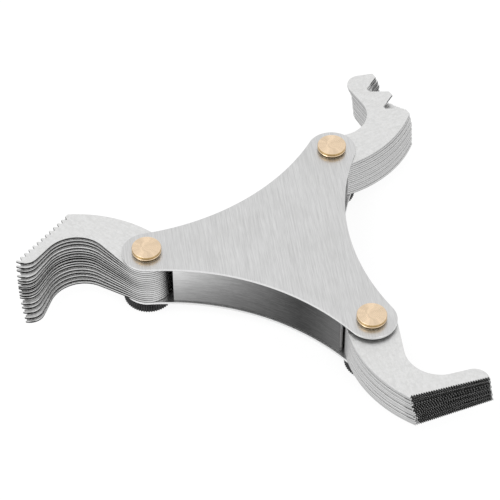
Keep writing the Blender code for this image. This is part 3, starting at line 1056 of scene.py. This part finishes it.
@dataclass
class Frame:
    """The two plates and the three walls that hold them apart."""

    layout: Layout
    wall: float = 0.8
    inset: float = 0.35
    flank_clearance: float = 0.4
    hook_clearance: float = 1.25
    lobe_step: float = 4.0  # degrees from one point of an arc to the next
    side_step: float = 1.5
    wall_step: float = 0.75

    def outline(self) -> list[Point]:
        """The plates' outline.

        Returns:
            Its points, clockwise.
        """
        lay = self.layout
        points: list[Point] = []
        half_side = lay.side_half_angle
        half_lobe = math.pi / 3 + half_side
        for corner in range(3):
            direction = math.pi / 3 + corner * 2 * math.pi / 3
            middle = direction + math.pi / 3
            back = middle + math.pi
            pivot = polar(lay.pivot_radius, direction)
            points += arc(pivot, lay.lobe, direction - half_lobe, direction + half_lobe, self.lobe_step)
            centre = lay.side_centre(middle)
            points += arc(centre, lay.side, back + half_side, back - half_side, self.side_step)[1:-1]
        return points[::-1]

    def build_plate(self, trees: ShapeTrees, finish: Material, node: str, height: float) -> Object:
        """Makes one plate.

        Args:
            trees: The shape trees.
            finish: Its material.
            node: The CAD node that it stands for.
            height: Its underside's height, in mm.

        Returns:
            The plate.
        """
        lay = self.layout
        points = numbered_points(node, [self.outline()] + [circle(lay.bore, lay.pivot(arm)) for arm in Arm])
        values = {"Thickness": lay.plate, "Edge Break": lay.edge_break, "Finish": finish}
        piece = bake(f"{node}_brushed", points, trees.plate, values)
        set_grain(piece.data, Pattern.FLAT)
        return settle(piece, place_over((0.0, 0.0), height), "frame", [node])

    def wall_end(self, clearance: float) -> float:
        """Half of a wall's arc, from its middle to an end that keeps clear of the boss beyond it.

        Args:
            clearance: The gap from the boss to the wall's end, in mm.

        Returns:
            The angle, in radians.
        """
        lay = self.layout
        to_pivot = lay.lobe + lay.side
        clear = lay.boss + clearance
        return lay.side_half_angle - max(
            math.acos((to_pivot**2 + radius**2 - clear**2) / (2 * to_pivot * radius))
            for radius in (lay.side + self.inset, lay.side + self.inset + self.wall)
        )

    def build_wall(self, trees: ShapeTrees, finish: Material, node: str, middle: float) -> Object:
        """Makes one wall, a curved strip just inside the plates' hollow side.

        Args:
            trees: The shape trees.
            finish: Its material.
            node: The CAD node that it stands for.
            middle: The way that it faces, in radians.

        Returns:
            The wall.
        """
        lay = self.layout
        outer = lay.side + self.inset
        inner = outer + self.wall
        start, end = -self.wall_end(self.flank_clearance), self.wall_end(self.hook_clearance)
        outline = arc((0.0, 0.0), outer, end, start, self.wall_step)
        outline += arc((0.0, 0.0), inner, start, end, self.wall_step)
        height = lay.inner - 2 * lay.seat_gap
        values = {"Thickness": height, "Edge Break": lay.edge_break, "Finish": finish}
        piece = bake(f"{node}_brushed", numbered_points(node, [outline[::-1]]), trees.plate, values)
        set_grain(piece.data, Pattern.ROUND, radius=outer)
        place = place_over(lay.side_centre(middle), lay.plate + lay.seat_gap, middle + math.pi)
        return settle(piece, place, "frame", [node])

    def build(self, trees: ShapeTrees, plate_finish: Material, wall_finish: Material) -> None:
        """Makes the plates and the walls.

        Args:
            trees: The shape trees.
            plate_finish: The plates' material.
            wall_finish: The walls' material.
        """
        lay = self.layout
        self.build_plate(trees, plate_finish, "bottom_plate", 0.0)
        self.build_plate(trees, plate_finish, "top_plate", lay.plate + lay.inner)
        arms = list(Arm)
        for arm, other in zip(arms, arms[1:] + arms[:1]):
            (x0, y0), (x1, y1) = lay.pivot(arm), lay.pivot(other)
            middle = math.atan2(y0 + y1, x0 + x1)
            self.build_wall(trees, wall_finish, f"wall_{arm.value}_{other.value}", middle)


@dataclass(frozen=True)
class Thread:
    """One leaf's thread form."""

    pitch: float
    angle: float
    crest: float = 0.20
    root: float = 0.16

    @property
    def depth(self) -> float:
        """How far the teeth stand out, in mm."""
        return self.pitch * (1.0 - self.crest - self.root) / 2 / math.tan(math.radians(self.angle) / 2)


def metric(*pitches: float) -> list[Thread]:
    """Threads of 60 degrees, by their pitch in mm."""
    return [Thread(pitch, 60.0) for pitch in pitches]


def per_inch(*counts: int) -> list[Thread]:
    """Threads of 55 degrees, by their number to the inch."""
    return [Thread(INCH_MM / count, 55.0) for count in counts]


@dataclass
class Fan:
    """One stack of leaves on its screw, from the top leaf down. Angles are in degrees."""

    arm: Arm
    layout: Layout
    points: float  # from the arm to the way that the top leaf points
    lay_of_leaves: tuple[tuple[float, float], ...]  # (leaf, degrees past the top leaf)
    wobble: float
    reach: float
    longer: float
    neck: float
    hollow_along: float
    nose_along: float
    threads: list[Thread]
    flare: float = 0.0
    toe_along: float = 15.2
    hollow_radius: float = 6.1
    nose_radius: float = 2.65
    flank_radius: float = 23.6
    flank_direction: float = 81.5
    thickness: float = 0.47
    gap: float = 0.05
    wobble_step: float = 2.4  # radians from one leaf to the next
    break_share: float = 0.12  # the most that the edge break takes of a pitch
    heel_slack: float = 0.02  # mm kept from the last tooth to the heel
    crisp: float = 20.0  # degrees; sharper edges stay crisp
    after_teeth: int = 10000  # numbers the rest of the blank's points after the teeth's

    def share_down(self, number: int) -> float:
        """How far down the stack a leaf lies, 0 at the top and 1 at the foot."""
        return number / (len(self.threads) - 1)

    def reach_of(self, number: int) -> float:
        """How far a leaf's crests lie from its pivot, counting leaves from the top."""
        return self.reach + self.longer * self.share_down(number)

    def turn_of(self, number: int) -> float:
        """The way that a leaf points.

        Args:
            number: The leaf, counted from the top.

        Returns:
            The direction, in radians.
        """
        leaves, degrees = zip(*self.lay_of_leaves)
        turned = float(np.interp(number, leaves, degrees))
        turned += self.wobble * math.sin(self.wobble_step * number)
        return self.layout.directions[self.arm] + math.radians(self.points + turned)

    def blank(self, number: int) -> tuple[list[Point], Point, Point]:
        """A leaf's outline but for its teeth, about its pivot, with its toe towards +Y.

        Args:
            number: The leaf, counted from the top.

        Returns:
            The points from the heel round to the nose, clockwise, then the toe and the heel.
        """
        boss, reach = self.layout.boss, self.reach_of(number)
        facing = math.radians(self.flank_direction - self.flare * self.share_down(number))
        flank = polar(self.flank_radius - boss, facing)
        flank_start = facing - math.pi
        flank_end = -math.acos((reach - flank[0]) / self.flank_radius)
        heel = polar(self.flank_radius, flank_end, flank)
        nose = (reach - self.neck + self.nose_radius, self.nose_along)
        toe = (reach, self.toe_along)
        to_toe = math.dist(toe, nose)
        if to_toe > self.nose_radius:
            towards_toe = math.atan2(toe[1] - nose[1], toe[0] - nose[0])
            nose_start = towards_toe + math.acos(self.nose_radius / to_toe)
        else:
            nose_start = math.acos((reach - nose[0]) / self.nose_radius)
            toe = polar(self.nose_radius, nose_start, nose)
        hollow = (reach - self.neck - self.hollow_radius, self.hollow_along)
        from_boss, from_hollow = self.leave_boss(hollow)
        points = arc(flank, self.flank_radius, flank_end, flank_start, 2.5)
        points += arc((0.0, 0.0), boss, flank_start + 2 * math.pi, from_boss)[1:]
        points += arc(hollow, self.hollow_radius, from_hollow, 0.0)
        points += arc(nose, self.nose_radius, math.pi, nose_start, 8.0)
        kept = [point for i, point in enumerate(points) if i == 0 or math.dist(point, points[i - 1]) > 0.01]
        if math.dist(kept[-1], toe) < 0.01:
            kept.pop()
        return kept, toe, heel

    def leave_boss(self, hollow: Point) -> tuple[float, float]:
        """Where the inner edge leaves the boss for the hollow.

        Args:
            hollow: The hollow's centre.

        Returns:
            The directions from the boss and from the hollow, in radians.
        """
        boss, radius = self.layout.boss, self.hollow_radius
        apart = math.hypot(*hollow)
        towards = math.atan2(hollow[1], hollow[0])
        if apart >= boss + radius:
            from_boss = towards + math.acos((boss + radius) / apart)
            return from_boss, from_boss - math.pi
        from_boss = towards - math.acos((boss**2 + apart**2 - radius**2) / (2 * boss * apart))
        x, y = polar(boss, from_boss)
        return from_boss, math.atan2(y - hollow[1], x - hollow[0])

    def build_leaf(self, trees: ShapeTrees, finish: Material, number: int, thread: Thread) -> Object:
        """Makes one leaf.

        Args:
            trees: The shape trees.
            finish: Its material.
            number: The leaf, counted from the top.
            thread: Its thread form.

        Returns:
            The leaf.
        """
        lay = self.layout
        outline, toe, heel = self.blank(number)
        node = f"leaf_{self.arm.value}_{number + 1:02d}"
        source = numbered_points(node, [outline, circle(lay.bore, sides=32)], self.after_teeth)
        values = {
            "Thickness": self.thickness,
            "Edge Break": min(lay.edge_break, self.break_share * thread.pitch),
            "Finish": finish,
            "Pitch": thread.pitch,
            "Depth": thread.depth,
            "Crest Share": thread.crest,
            "Root Share": thread.root,
            "Reach": self.reach_of(number),
            "Toe": toe[1],
            "Teeth": math.floor((toe[1] - heel[1] - self.heel_slack) / thread.pitch),
        }
        piece = bake(f"{node}_blade", source, trees.leaf, values)
        set_grain(piece.data, Pattern.FLAT, layer=number + 1)
        under = len(self.threads) - 1 - number
        height = lay.plate + self.gap + under * (self.thickness + self.gap)
        place = place_over(lay.pivot(self.arm), height, self.turn_of(number))
        return settle(piece, place, node, [node], self.crisp)

    def build(self, trees: ShapeTrees, finish: Material) -> None:
        """Makes the leaves, from the top one down."""
        for number, thread in enumerate(self.threads):
            self.build_leaf(trees, finish, number, thread)


@dataclass
class ScrewAndNut:
    """One brass screw through its fan, and the knurled nut that clamps it."""

    arm: Arm
    layout: Layout
    head_radius: float = 2.7
    head_height: float = 1.05
    crown: float = 0.22
    bevel: float = 0.15
    groove: float = 0.12
    groove_height: float = 0.45
    groove_width: float = 0.24
    groove_floor: float = 0.06
    foot_bevel: float = 0.06
    shank_chamfer: float = 0.3
    nut_radius: float = 4.4
    nut_height: float = 2.1
    nut_chamfer: float = 0.28
    knurls: int = 60
    knurl_depth: float = 0.22
    recess: float = 0.3
    screw_crisp: float = 25.0  # degrees; sharper edges stay crisp
    nut_crisp: float = 20.0

    def build_screw(self, finish: Material) -> Object:
        """Turns the head and the shank.

        Args:
            finish: The screw's material.

        Returns:
            The screw.
        """
        lay = self.layout
        seat = lay.top + lay.seat_gap
        rim = seat + self.head_height
        end = -lay.seat_gap - self.nut_height + self.recess
        radius, bevel, groove = self.head_radius, self.bevel, self.groove
        middle, half, floor = seat + self.groove_height, self.groove_width / 2, self.groove_floor / 2
        profile = [
            (0.0, rim + self.crown),
            (radius * 0.5, rim + self.crown * 0.5),
            (radius - bevel - 0.04, rim + 0.012),
            (radius - bevel, rim),
            (radius - bevel * 0.4, rim - bevel * 0.28),
            (radius, rim - bevel),
            (radius, middle + half),
            (radius - groove, middle + floor),
            (radius - groove, middle - floor),
            (radius, middle - half),
            (radius, seat + self.foot_bevel),
            (radius - self.foot_bevel, seat),
            (lay.shank, seat),
            (lay.shank, end + self.shank_chamfer),
            (lay.shank - self.shank_chamfer, end),
            (0.0, end),
        ]
        node = f"screw_{self.arm.value}"
        mesh = lathe(f"{node}_turned", profile)
        mesh.materials.append(finish)
        set_grain(mesh, Pattern.ROUND, radius=1.0)
        piece = add_object(f"{node}_turned", mesh)
        place = place_over(lay.pivot(self.arm), 0.0)
        return settle(piece, place, "frame", [node], self.screw_crisp)

    def build_nut(self, trees: ShapeTrees, finish: Material) -> Object:
        """Makes the knurled nut.

        Args:
            trees: The shape trees.
            finish: The nut's material.

        Returns:
            The nut.
        """
        lay = self.layout
        core = self.nut_radius - self.knurl_depth
        height, chamfer = self.nut_height, self.nut_chamfer
        profile = [
            (lay.bore, 0.0),
            (core - chamfer, 0.0),
            (core, chamfer),
            (core, height - chamfer),
            (core - chamfer, height),
            (lay.bore, height),
            (lay.bore, 0.0),
        ]
        node = f"nut_{self.arm.value}"
        values = {
            "Knurls": self.knurls,
            "Radius": self.nut_radius,
            "Depth": self.knurl_depth,
            "Height": height - chamfer,
            "Rise": chamfer / 2,
            "Finish": finish,
        }
        piece = bake(f"{node}_knurled", lathe(f"{node}_core", profile, self.knurls), trees.knurl, values)
        set_grain(piece.data, Pattern.ROUND, radius=1.0)
        place = place_over(lay.pivot(self.arm), -lay.seat_gap - height)
        return settle(piece, place, node, [node], self.nut_crisp)


def fans(layout: Layout) -> list[Fan]:
    """The gauge's three fans, each with its top leaf's direction, its lay, its blank and its threads.

    Args:
        layout: The shared sizes.

    Returns:
        The fans, in the order of their arms.
    """
    medium = Fan(
        Arm.MEDIUM,
        layout,
        points=-44.2,
        lay_of_leaves=((0, 0.0), (4, 6.6), (8, 8.9), (10, 10.4), (15, 19.5)),
        wobble=0.35,
        reach=18.0,
        longer=0.2,
        neck=2.6,
        hollow_along=9.1,
        nose_along=12.7,
        threads=per_inch(22, 24, 25, 26, 27, 28, 30, 32, 34, 36, 38, 40, 42, 44, 46, 48),
    )
    coarse = Fan(
        Arm.COARSE,
        layout,
        points=-37.4,
        lay_of_leaves=((0, 0.0), (4, -2.3), (15, -3.0)),
        wobble=0.25,
        reach=18.5,
        longer=0.6,
        neck=6.3,
        hollow_along=8.4,
        nose_along=13.0,
        toe_along=14.5,
        threads=metric(6, 5.5, 5, 4.5, 4, 3.5, 3, 2.5, 2, 1.75, 1.5, 1.25, 1, 0.9, 0.8, 0.75),
    )
    fine = Fan(
        Arm.FINE,
        layout,
        points=-21.1,
        lay_of_leaves=((0, 0.0), (14, 4.7)),
        wobble=0.45,
        reach=17.9,
        longer=0.6,
        flare=2.2,
        neck=2.85,
        hollow_along=9.3,
        nose_along=12.7,
        threads=metric(0.45, 0.4, 0.35, 0.3) + per_inch(50, 52, 54, 56, 58, 60, 62, 64, 66, 68, 70),
    )
    return [medium, coarse, fine]


# The studio


@dataclass(frozen=True)
class Lamp:
    """A round soft lamp that faces the gauge, in metres and watts."""

    name: str
    place: tuple[float, float, float]
    size: float
    power: float


@dataclass
class Studio:
    """Floor, light and camera. Lengths are in metres, angles in radians."""

    target: tuple[float, float, float] = (-0.00643, -0.00232, 0.00942)
    distance: float = 0.380435
    azimuth: float = -0.1304
    elevation: float = 0.8151
    roll: float = -0.0086
    focal_pixels: float = 2100.9
    frame_pixels: float = 500.0
    sensor: float = 36.0
    clip: Span = (0.01, 20.0)
    floor_size: float = 6.0
    floor_tone: float = 0.8
    seen_floor: Span = (0.16, 0.88)  # what the camera sees: the part that takes shadow, and its glow
    sky: float = 0.95
    lamps: tuple[Lamp, ...] = (
        Lamp("lamp_above", (-0.4, -0.1, 0.7), 0.4, 0.8),
        Lamp("lamp_front", (0.35, -0.6, 0.35), 0.3, 0.4),
    )

    def add_camera(self) -> None:
        """Stands the camera where the photograph was taken from."""
        turn, rise = self.azimuth, self.elevation
        back = Vector((math.sin(turn) * math.cos(rise), -math.cos(turn) * math.cos(rise), math.sin(rise)))
        right = (-back).cross(Vector((0.0, 0.0, 1.0))).normalized()
        up = right.cross(-back)
        rolled_right = math.cos(self.roll) * right + math.sin(self.roll) * up
        rolled_up = math.cos(self.roll) * up - math.sin(self.roll) * right
        data = bpy.data.cameras.new("camera")
        data.sensor_width = self.sensor
        data.lens = self.focal_pixels / self.frame_pixels * self.sensor
        data.clip_start, data.clip_end = self.clip
        camera = add_object("camera", data)
        basis = Matrix((rolled_right, rolled_up, back)).transposed().to_4x4()
        camera.matrix_world = Matrix.Translation(Vector(self.target) + back * self.distance) @ basis
        bpy.context.scene.camera = camera

    def add_floor(self, height: float) -> None:
        """Lays a pale floor that the object throws its shadow on.

        Args:
            height: The floor's height.
        """
        half = self.floor_size / 2
        mesh = bpy.data.meshes.new("floor")
        corners = [(-half, -half), (half, -half), (half, half), (-half, half)]
        mesh.from_pydata([(x, y, height) for x, y in corners], [], [(0, 1, 2, 3)])
        made = bpy.data.materials.new("pale_floor")
        made.use_nodes = True
        made.node_tree.nodes.clear()
        build = NodeBuilder(made.node_tree)
        rays = build.node("ShaderNodeLightPath").outputs
        seen = build.maths("MAXIMUM", rays["Is Camera Ray"], rays["Is Glossy Ray"])
        seen = build.maths("MAXIMUM", seen, rays["Is Transmission Ray"])
        shaded, glow = self.seen_floor
        plain = build.add("ShaderNodeBsdfDiffuse", Color=rgba(grey(self.floor_tone)))
        dim = build.add("ShaderNodeBsdfDiffuse", Color=rgba(grey(shaded)))
        bright = build.add("ShaderNodeEmission", Color=rgba(grey(1.0)), Strength=glow)
        white = build.add("ShaderNodeAddShader", i0=dim, i1=bright)
        both = build.add("ShaderNodeMixShader", i0=seen, i1=plain, i2=white)
        build.node("ShaderNodeOutputMaterial", Surface=both)
        mesh.materials.append(made)
        floor = add_object("floor", mesh)

    def add_light(self) -> None:
        """Soft light from all round, with one wide lamp above and one in front."""
        world = bpy.data.worlds.new("studio")
        world.use_nodes = True
        bpy.context.scene.world = world
        sky = world.node_tree.nodes["Background"]
        sky.inputs["Color"].default_value = rgba(grey(1.0))
        sky.inputs["Strength"].default_value = self.sky
        for lamp in self.lamps:
            data = bpy.data.lights.new(lamp.name, "AREA")
            data.shape, data.size, data.energy = "DISK", lamp.size, lamp.power
            made = add_object(lamp.name, data)
            made.location = lamp.place
            made.rotation_euler = (-Vector(lamp.place)).to_track_quat("-Z", "Y").to_euler()

    def build(self, floor_height: float) -> None:
        """Sets up the whole studio.

        Args:
            floor_height: The height of what the gauge stands on.
        """
        self.add_camera()
        self.add_floor(floor_height)
        self.add_light()
        bpy.context.scene.view_settings.view_transform = "Standard"


def main() -> None:
    """Builds the gauge's pieces in order, then the studio round them."""
    logging.basicConfig(level=logging.INFO, format="%(name)s: %(message)s")
    layout = Layout()
    trees = ShapeTrees()
    effects = Effects()
    plate, wall = PLATE_STEEL.make(effects), WALL_STEEL.make(effects)
    brass, black = BrassFinish().make(effects), BlackFinish().make(effects)
    Frame(layout).build(trees, plate, wall)
    for fan in fans(layout):
        fan.build(trees, LEAF_STEEL[fan.arm].make(effects))
    for arm in Arm:
        fastening = ScrewAndNut(arm, layout)
        fastening.build_screw(brass)
        fastening.build_nut(trees, black)
    Studio().build(CAD_BOX[0].z)


if __name__ == "__main__":
    main()
